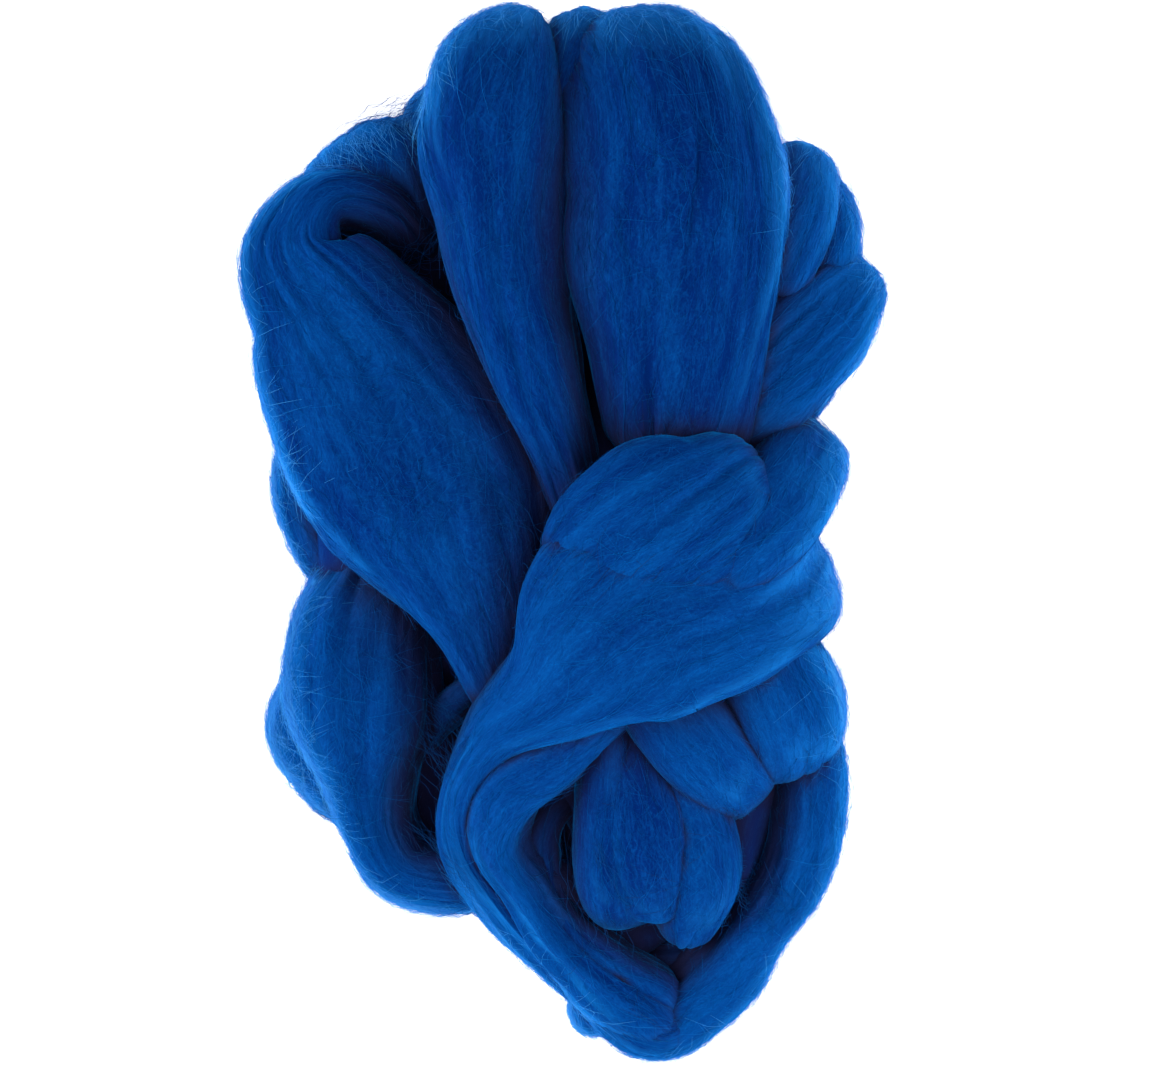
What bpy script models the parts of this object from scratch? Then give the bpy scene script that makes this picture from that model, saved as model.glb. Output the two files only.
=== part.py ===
"""A bundle of combed wool roving, folded over on itself many times and left to lie.

The roving is one soft length. Each fold, loop or strand of it that shows is a pass: a flattened
tube that follows a path of its own. The passes sink into each other as loose wool does, so the
bundle is one solid. Metres, +Z up, +Y along the bundle, with the origin on the surface that the
bundle lies on, under the middle of it.
"""
import math
from collections import namedtuple

import bmesh
import bpy
import numpy as np

MM = 0.001

# The middle of the bundle on the grid that the tables are laid out on, in mm.
MIDDLE_X = 0.95
MIDDLE_Y = -1.65

# The section of a pass is a rounded oblong: 2 would make it an ellipse.
SECTION_POWER = 2.3
# Steps along a pass and round its section, and the thinnest that its end gets.
STATION_STEP = 4.0 * MM
RING_STEPS = 28
END_SHARE = 0.05

# The skin that closes over all the passes, and the share of its faces that is kept.
SKIN_CELL = 2.5 * MM
SKIN_SMOOTHING = 0.5
SKIN_SMOOTHING_ROUNDS = 3
FACES_KEPT = 0.15
GROUND_BOX = 0.6
GROUND_DEPTH = 0.05

WOOL_COLOUR = (0.008, 0.110, 0.420, 1.0)
WOOL_ROUGHNESS = 0.85

Section = namedtuple("Section", "x y z width height roll", defaults=(0,))

# Each pass is read from one end to the other. x, y and z are the middle of a section above the
# surface, width and height its size, in mm, and roll turns it about the path, in degrees. The
# outside of a fold is always the upper side of its pass.
PASSES = {
    # folds underneath, which the rest lies on
    "bed_left": (
        (-22, 92, 13, 36, 24),
        (-44, 55, 15, 46, 31),
        (-46, 15, 17, 44, 36),
        (-42, -30, 16, 44, 32),
        (-36, -70, 10, 34, 18),
        (-34, -88, 9, 20, 16),
    ),
    "bed_middle": (
        (10, 108, 16, 40, 30),
        (6, 60, 17, 56, 36),
        (-2, 0, 17, 60, 36),
        (4, -60, 15, 44, 30),
        (22, -112, 8, 26, 15),
    ),
    "bed_right": (
        (34, 94, 16, 30, 30),
        (45, 55, 17, 40, 36),
        (41, 5, 17, 48, 36),
        (43, -50, 17, 42, 36),
        (40, -98, 13, 24, 26),
    ),
    "heart": (
        (8, 90, 28, 34, 26),
        (6, 45, 30, 44, 28),
        (12, -10, 40, 48, 32),
        (18, -50, 34, 50, 28),
        (20, -84, 22, 30, 22),
    ),
    # lower folds that show at the edges
    "back_left_top": (
        (-38, 72, 21, 26, 20),
        (-46, 88, 26, 35, 22),
        (-50, 97.5, 20, 36, 20),
        (-46, 86, 12, 36, 22),
        (-34, 62, 12, 28, 20),
    ),
    "back_top_tab": (
        (-24, 90, 26, 28, 20),
        (-30, 106, 25, 27, 18),
        (-32.5, 118, 24, 19, 14),
    ),
    "back_left_edge": (
        (-64, 26, 15, 20, 20),
        (-67, 10, 16, 20, 20),
        (-62, -4, 16, 20, 20),
        (-52, -17, 14, 20, 18),
    ),
    "back_right_upper": (
        (50, 58, 40, 22, 24),
        (59, 79, 40, 23, 26),
        (61, 90.5, 28, 22, 24),
        (57, 78, 16, 24, 26),
        (46, 58, 16, 24, 26),
    ),
    "back_right_outer": (
        (58, 56, 31, 20, 22),
        (65, 74, 31, 20, 22),
        (65.5, 82, 22, 18, 20, 25),
        (66, 72, 13, 20, 22),
        (58, 50, 13, 20, 22),
    ),
    "back_right_lower": (
        (34, 24, 43, 34, 22),
        (49, 40, 44, 38, 26),
        (65, 54.5, 40, 35, 27),
        (72.5, 63, 29, 27, 26),
        (67, 58, 17, 28, 26),
        (56, 42, 15, 34, 28),
        (34, 26, 15, 28, 28),
    ),
    "lower_left_outer": (
        (-50, -28, 12, 18, 20),
        (-60.5, -40, 12, 19, 22),
        (-66, -50, 12, 20, 22),
        (-59.5, -63, 12, 17, 20),
        (-48, -74, 12, 16, 18),
    ),
    "lower_left": (
        (-42, 2, 18, 26, 24),
        (-48, -12, 20, 30, 28),
        (-52, -28, 23, 36, 36),
        (-52.5, -44, 24, 37, 40),
        (-52, -60, 20, 26, 34),
        (-50, -75, 16, 19, 28),
        (-43, -87.5, 14, 18, 26),
        (-30, -91, 13, 18, 22),
        (-12, -88, 12, 18, 20),
    ),
    "gap_stub": (
        (-13, -35, 33, 9, 10),
        (-20, -39, 33, 11, 11),
        (-27, -44, 31, 12, 12),
        (-32, -50, 27, 11, 11),
        (-35, -56, 21, 9, 9),
    ),
    "bottom_stub": (
        (20, -108, 10, 14, 16),
        (11, -119, 8, 15, 16),
        (9, -126, 8, 13, 15),
        (11, -133, 7, 10, 12),
    ),
    # the broad fold on the left, and the short ones on the lower right
    "left_sweep": (
        (0, -62, 24, 16, 16),
        (-13, -41, 38, 19, 20),
        (-19, -17, 44, 40, 25, -5),
        (-29, 9, 45, 63, 28, -9),
        (-47, 36, 43, 61, 28, -9),
        (-60, 57, 41, 46, 27, -6),
        (-68, 73, 38, 31, 26),
        (-62, 84, 36, 20, 25),
        (-52, 83, 32, 16, 22),
        (-45, 76, 26, 12, 18),
        (-43, 69, 18, 9, 14),
    ),
    "tongue_right": (
        (12, -36, 38, 18, 18),
        (20, -56, 39, 24, 20),
        (29, -73, 38, 29, 24),
        (33, -86, 34, 27, 26),
        (32.5, -97, 27, 20, 22),
        (31, -107, 20, 12, 16),
    ),
    "tongue_join": (
        (11, -46, 40, 20, 18),
        (17, -62, 43, 24, 19),
        (20, -78, 41, 25, 20),
        (22.5, -90, 34, 20, 20),
        (24, -99, 26, 13, 18),
    ),
    "tongue_left": (
        (9, -34, 40, 16, 18),
        (12, -56, 43, 18, 20),
        (13, -76, 40, 20, 24),
        (14.5, -88, 33, 21, 24),
        (16, -93, 23, 18, 20),
        (12, -80, 16, 16, 16),
    ),
    "lobe_low": (
        (14, -24, 46, 22, 22),
        (27, -42, 49, 25, 24),
        (38, -55, 45, 26, 25),
        (44, -62, 34, 25, 22),
        (38, -52, 25, 22, 20),
    ),
    "lobe_right": (
        (39, -14, 44, 22, 22),
        (51, -33, 48, 26, 24),
        (57, -44.5, 44, 28, 25),
        (58.5, -52.5, 32, 26, 22),
        (54, -44, 24, 22, 20),
    ),
    # the loop at the foot of the bundle, and the strands inside it
    "right_loop": (
        (6, -116, 10, 16, 18),
        (25, -129, 10, 20, 20),
        (38, -120, 12, 22, 23),
        (49, -106, 15, 21, 27),
        (58.8, -91.5, 18, 21, 30),
        (63.8, -75.5, 20, 20, 32),
        (63.5, -58, 20, 18, 30),
        (56, -42, 18, 16, 24),
    ),
    "loop_strand": (
        (20, -112, 8, 14, 14),
        (36, -109, 10, 15, 14),
        (46, -99, 9, 16, 13),
        (51, -86, 8, 18, 13),
        (52, -70, 8, 16, 13),
        (50, -54, 8, 12, 12),
    ),
    "inner_strand": (
        (4, -60, 26, 14, 14),
        (-6, -76, 28, 12, 16),
        (-5, -90, 25, 13, 18),
        (2, -103, 21, 13, 20),
        (13, -113, 17, 14, 20),
        (25, -121, 13, 14, 18),
        (15, -120, 8, 13, 14),
    ),
    "second_strand": (
        (16, -38, 48, 20, 16),
        (0, -53, 48, 18, 18),
        (-12, -64, 42, 13, 22),
        (-14.5, -77, 34, 13, 24),
        (-8, -91, 27, 19, 26),
        (1, -105, 21, 20, 25),
        (13, -117, 17, 18, 22),
        (23, -126, 12, 16, 18),
        (14, -121, 8, 14, 14),
    ),
    # the two tall folds at the head
    "top_left": (
        (7, 2, 44, 14, 18),
        (1, 21, 49, 18, 25),
        (-6, 40, 52, 24, 31),
        (-12, 60, 53, 28, 35),
        (-15.5, 80, 53.5, 32, 36),
        (-17.5, 99, 52, 38, 36),
        (-16, 112, 48, 34, 34),
        (-14, 120, 36, 24, 32),
        (-17, 112, 22, 34, 30),
        (-18, 98, 17, 38, 32),
        (-10, 60, 16, 32, 30),
        (2, 22, 18, 24, 22),
    ),
    "top_right": (
        (26, 16, 46, 34, 22),
        (28, 34, 52, 42, 29),
        (28.5, 50, 54, 49, 34),
        (28, 70, 55.5, 57, 38),
        (27.5, 90, 55, 57, 38),
        (23.5, 108, 51, 53, 36, -6),
        (18, 117.5, 38, 50, 34, -18),
        (23, 108, 23, 44, 32, -6),
        (27, 92, 18, 46, 34),
        (29, 60, 17, 46, 32),
        (24, 26, 18, 34, 24),
    ),
    "head_join": (
        (-1, 78, 32, 20, 22),
        (-1, 98, 41, 24, 28),
        (2, 113.5, 42, 24, 30),
        (4, 122, 32, 24, 27),
        (-1, 108, 20, 24, 28),
        (-1, 90, 16, 20, 24),
    ),
    # the length that wraps round the middle and runs down into the loop
    "wrap_hump": (
        (0, -14, 60, 22, 16),
        (9, -6, 65.5, 36, 20),
        (22, 1, 68.5, 41, 21),
        (36, 7.5, 66, 36, 20),
        (43.5, 12.5, 59, 26, 18),
        (46, 10, 50, 16, 14),
    ),
    "wrap_corner": (
        (26, -13, 60, 16, 13),
        (40, -4.5, 64, 25, 16),
        (52.5, 6.5, 58, 25, 17),
        (61, 19.5, 39.5, 22, 17),
        (58.5, 17, 18, 22, 18),
        (42, -4, 20, 20, 16),
    ),
    "wrap": (
        (34, -124, 9, 14, 14),
        (24, -129, 11, 19, 20),
        (11, -116.5, 14, 16, 22),
        (-1.5, -105.5, 17, 15.5, 24),
        (-13.5, -93.5, 22, 17, 25),
        (-23, -78, 30, 16, 26),
        (-23, -63, 39, 14, 25),
        (-15, -49, 50, 16, 24),
        (-1.5, -38.5, 60, 31, 22),
        (9, -27.5, 66, 52, 20),
        (20, -19, 68, 57, 20),
        (36, -14, 65, 52, 20),
        (50.5, -8.5, 54, 49, 20),
        (57.5, -1, 33, 48, 20),
        (52, -3, 15, 48, 20),
        (34, -4, 12, 40, 20),
    ),
}

Crease = namedtuple("Crease", "start end side_start side_end width depth")

# Soft troughs that run along the upper side of a pass. start and end are shares of the length of
# the pass, side_start and side_end places across it, from -1 on its left to 1 on its right, and
# width and depth are in mm. A ridge has a negative depth.
CREASES = {
    "left_sweep": (
        (0.25, 0.80, -0.20, 0.10, 3.0, 1.2),
        (0.15, 0.60, 0.30, 0.25, 3.0, 1.0),
    ),
    "lobe_right": (
        (0.30, 0.65, -0.10, -0.25, 2.5, 1.4),
    ),
    "top_left": (
        (0.03, 0.42, -0.60, 0.00, 2.8, 2.6),
        (0.15, 0.42, 0.40, 0.47, 2.5, 1.2),
        (0.00, 0.50, 0.88, 0.86, 4.0, 5.0),
    ),
    "top_right": (
        (0.20, 0.42, 0.02, 0.28, 3.0, 2.4),
        (0.06, 0.22, -0.33, -0.25, 2.6, 1.8),
        (0.38, 0.55, 0.75, 0.70, 3.0, 1.5),
        (0.00, 0.50, -0.90, -0.86, 5.0, 6.0),
    ),
    "second_strand": (
        (0.42, 0.86, 0.20, -0.15, 2.0, 1.5),
        (0.30, 0.60, -0.45, -0.35, 2.0, 1.2),
    ),
    "lower_left": (
        (0.20, 0.55, -0.30, 0.10, 3.0, 1.6),
    ),
    "wrap_hump": (
        (0.38, 0.80, 0.05, -0.35, 2.0, 2.0),
    ),
    "wrap": (
        (0.05, 0.40, 0.10, 0.00, 2.5, 1.2),
        (0.14, 0.34, -0.55, -0.35, 1.8, 1.0),
        (0.66, 0.92, 0.45, 0.12, 3.0, 1.8),
        (0.70, 0.92, -0.02, -0.42, 3.0, 1.5),
    ),
}


def smooth_path(rows, step):
    """Rows of a table read off one smooth curve through them, evenly spaced along its length."""
    rows = np.array(rows, float)
    chord = np.linalg.norm(np.diff(rows[:, :3], axis=0), axis=1)
    place = np.concatenate([[0.0], np.cumsum(chord)])
    slope = np.gradient(rows, place, axis=0)
    fine_place = np.linspace(0.0, place[-1], 24 * len(rows))
    first = np.clip(np.searchsorted(place, fine_place, side="right") - 1, 0, len(rows) - 2)
    span = (place[first + 1] - place[first])[:, None]
    u = (fine_place - place[first])[:, None] / span
    fine = (
        (2 * u**3 - 3 * u**2 + 1) * rows[first]
        + (u**3 - 2 * u**2 + u) * span * slope[first]
        + (3 * u**2 - 2 * u**3) * rows[first + 1]
        + (u**3 - u**2) * span * slope[first + 1]
    )
    lengths = np.linalg.norm(np.diff(fine[:, :3], axis=0), axis=1)
    length = np.concatenate([[0.0], np.cumsum(lengths)])
    stations = max(8, round(length[-1] / step))
    at = np.linspace(0.0, length[-1], stations)
    columns = [np.interp(at, length, column) for column in fine.T]
    return np.stack(columns, axis=1), at


def carry(across, tangent, next_tangent, step):
    """The across axis of one section carried on to the next without twisting."""
    across = across - 2 * (step @ across) / (step @ step) * step
    tangent = tangent - 2 * (step @ tangent) / (step @ step) * step
    turn = next_tangent - tangent
    return across - 2 * (turn @ across) / (turn @ turn) * turn


def section_axes(centre, roll):
    """The across and up axes of each section: level where the pass is highest, carried from there."""
    tangent = np.gradient(centre, axis=0)
    tangent /= np.linalg.norm(tangent, axis=1)[:, None]
    across = np.zeros_like(centre)
    top = int(np.argmax(centre[:, 2]))
    level = np.cross(tangent[top], (0.0, 0.0, 1.0))
    across[top] = level / np.linalg.norm(level)
    for k in range(top + 1, len(centre)):
        across[k] = carry(across[k - 1], tangent[k - 1], tangent[k], centre[k] - centre[k - 1])
    for k in range(top - 1, -1, -1):
        across[k] = carry(across[k + 1], tangent[k + 1], tangent[k], centre[k] - centre[k + 1])
    up = np.cross(across, tangent)
    turn = roll[:, None]
    return across * np.cos(turn) + up * np.sin(turn), up * np.cos(turn) - across * np.sin(turn)


def ring_angles(aspect):
    """Angles from the underside round a section, evenly spaced along its edge."""
    dense = np.linspace(-0.5 * math.pi, 1.5 * math.pi, 721)
    edge = np.hypot(np.diff(aspect * np.cos(dense)), np.diff(np.sin(dense)))
    length = np.concatenate([[0.0], np.cumsum(edge)])
    return np.interp(np.linspace(0.0, length[-1], RING_STEPS + 1)[:-1], length, dense)


def rounded_ends(at, height):
    """The share of its full section that a pass has at each station, closing at both ends."""
    from_start = np.clip(at / (0.5 * height[0]), 0.0, 1.0)
    from_end = np.clip((at[-1] - at) / (0.5 * height[-1]), 0.0, 1.0)
    return np.maximum(np.sqrt((1 - (1 - from_start) ** 2) * (1 - (1 - from_end) ** 2)), END_SHARE)


def crease_depth(creases, share, side, upward):
    """How far the surface sinks at each point, from the creases of its pass."""
    sunk = np.zeros(upward.shape)
    for crease in creases:
        middle = 0.5 * (crease.start + crease.end)
        reach = 0.5 * (crease.end - crease.start)
        along = np.clip(1 - np.abs(share - middle) / reach, 0.0, 1.0)
        u = np.clip((share - crease.start) / (2 * reach), 0.0, 1.0)
        line = crease.side_start + (crease.side_end - crease.side_start) * u
        off = (side["place"] - line[:, None]) * side["half_width"][:, None] / (crease.width * MM)
        sunk += crease.depth * MM * np.sqrt(along)[:, None] * np.exp(-off**2)
    return sunk * upward


def sweep_pass(rows, creases):
    """Points of a pass, one row for each station, and the rounded section at each of them."""
    sections = np.array(rows, float) * ([MM] * 5 + [math.radians(1)])
    row, at = smooth_path(sections, STATION_STEP)
    centre = row[:, :3]
    width, height, roll = row[:, 3], row[:, 4], row[:, 5]
    across, up = section_axes(centre, roll)
    angle = ring_angles(float(np.mean(width / height)))
    level = np.sign(np.cos(angle)) * np.abs(np.cos(angle)) ** (2 / SECTION_POWER)
    rise = np.sign(np.sin(angle)) * np.abs(np.sin(angle)) ** (2 / SECTION_POWER)
    share = rounded_ends(at, height)
    half_width = 0.5 * width * share
    half_height = 0.5 * height * share
    upward = np.clip(np.sin(angle), 0.0, 1.0)[None, :] * share[:, None]
    side = {"place": np.broadcast_to(level, upward.shape), "half_width": half_width}
    sunk = crease_depth(creases, at / at[-1], side, upward)
    lift = half_height[:, None] * rise[None, :] - sunk
    return centre[:, None] + across[:, None] * (half_width[:, None] * level)[:, :, None] + (
        up[:, None] * lift[:, :, None])


def add_closed_tube(mesh, points):
    """Adds a tube with flat ends to a bmesh, its faces pointing out."""
    rings = [[mesh.verts.new(point) for point in ring] for ring in points]
    for ring, following in zip(rings, rings[1:]):
        for k in range(len(ring)):
            after = (k + 1) % len(ring)
            mesh.faces.new((ring[k], ring[after], following[after], following[k]))
    mesh.faces.new(rings[0][::-1])
    mesh.faces.new(rings[-1])


def wool_material():
    material = bpy.data.materials.new("wool_blue")
    material.use_nodes = True
    shader = material.node_tree.nodes["Principled BSDF"]
    shader.inputs["Base Color"].default_value = WOOL_COLOUR
    shader.inputs["Roughness"].default_value = WOOL_ROUGHNESS
    shader.inputs["Metallic"].default_value = 0.0
    return material


def ground_cutter():
    """What lies under the surface, which takes off what would sink into it."""
    mesh = bmesh.new()
    bmesh.ops.create_cube(mesh, size=1.0)
    bmesh.ops.scale(mesh, vec=(GROUND_BOX, GROUND_BOX, GROUND_DEPTH), verts=mesh.verts)
    bmesh.ops.translate(mesh, vec=(0, 0, -0.5 * GROUND_DEPTH), verts=mesh.verts)
    data = bpy.data.meshes.new("ground_cutter")
    mesh.to_mesh(data)
    mesh.free()
    cutter = bpy.data.objects.new("ground_cutter", data)
    cutter.hide_render = True
    cutter.display_type = "WIRE"
    bpy.context.scene.collection.objects.link(cutter)
    return cutter


def roving():
    """All the passes under one skin, flat where the bundle lies on the surface."""
    mesh = bmesh.new()
    for name, rows in PASSES.items():
        creases = [Crease(*row) for row in CREASES.get(name, ())]
        points = sweep_pass([Section(*row) for row in rows], creases)
        add_closed_tube(mesh, points - np.array((MIDDLE_X, MIDDLE_Y, 0.0)) * MM)
    bmesh.ops.recalc_face_normals(mesh, faces=mesh.faces)
    data = bpy.data.meshes.new("roving")
    mesh.to_mesh(data)
    mesh.free()
    bundle = bpy.data.objects.new("roving", data)
    bundle.data.materials.append(wool_material())
    bpy.context.scene.collection.objects.link(bundle)

    skin = bundle.modifiers.new("Skin", "REMESH")
    skin.mode = "VOXEL"
    skin.voxel_size = SKIN_CELL
    skin.adaptivity = 0.0
    skin.use_smooth_shade = True

    settle = bundle.modifiers.new("Settle", "SMOOTH")
    settle.factor = SKIN_SMOOTHING
    settle.iterations = SKIN_SMOOTHING_ROUNDS

    fewer = bundle.modifiers.new("Fewer faces", "DECIMATE")
    fewer.decimate_type = "COLLAPSE"
    fewer.ratio = FACES_KEPT

    rest = bundle.modifiers.new("Resting face", "BOOLEAN")
    rest.operation = "DIFFERENCE"
    rest.solver = "EXACT"
    rest.object = ground_cutter()
    return bundle


def main():
    for old in list(bpy.data.objects):
        bpy.data.objects.remove(old)
    roving()


main()
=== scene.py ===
"""The looks of a bundle of combed wool roving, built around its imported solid.

The bundle is one soft length, folded over on itself. Each fold is a skin with furrows along its
fibres, made from the same table of sections as the solid. Fibres lie on the skins, fine hairs
stand off them, and a few stray curly ones cross the hollows between the folds.
"""

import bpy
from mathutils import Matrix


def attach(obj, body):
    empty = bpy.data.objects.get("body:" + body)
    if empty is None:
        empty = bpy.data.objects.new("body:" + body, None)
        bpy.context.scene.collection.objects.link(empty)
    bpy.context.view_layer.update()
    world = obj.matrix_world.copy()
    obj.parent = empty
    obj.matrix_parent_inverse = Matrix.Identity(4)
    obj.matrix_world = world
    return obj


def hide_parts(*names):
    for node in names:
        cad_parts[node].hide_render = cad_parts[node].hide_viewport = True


bl_info = {
    "name": "Wool Roving",
    "version": (1, 0, 0),
    "blender": (4, 5, 0),
    "location": "3D View > Sidebar > Roving",
    "description": "Folds, fibres and stray hairs of combed wool around a packed solid",
    "category": "Object",
}

import functools
import math
from collections import namedtuple

import bpy
import numpy as np
from bpy.props import FloatProperty, FloatVectorProperty, IntProperty, PointerProperty
from mathutils import Vector
from mathutils.bvhtree import BVHTree

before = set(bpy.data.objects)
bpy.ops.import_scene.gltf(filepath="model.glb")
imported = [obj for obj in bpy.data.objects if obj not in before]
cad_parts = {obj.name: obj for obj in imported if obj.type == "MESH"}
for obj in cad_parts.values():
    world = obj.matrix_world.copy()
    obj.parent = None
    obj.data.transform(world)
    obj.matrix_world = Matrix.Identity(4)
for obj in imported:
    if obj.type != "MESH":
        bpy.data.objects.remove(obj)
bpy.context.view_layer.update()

NODE = "roving"
BODY = "root"
MM = 0.001

# ---------- the bundle's own sizes

# The middle of the bundle on the grid that the tables are laid out on, in mm.
MIDDLE = (0.95, -1.65, 0.0)
SECTION_POWER = 2.3
END_SHARE = 0.05
END_REACH = 12 * MM
REST_HEIGHT = 0.1 * MM
REST_EDGE = 1.2 * MM

# Where the side of a section that doesn't show starts, as a sine, and how soon it is coarse.
HIDDEN_FROM = -0.25
HIDDEN_SOON = 0.35

Section = namedtuple("Section", "x y z width height roll", defaults=(0,))

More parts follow.
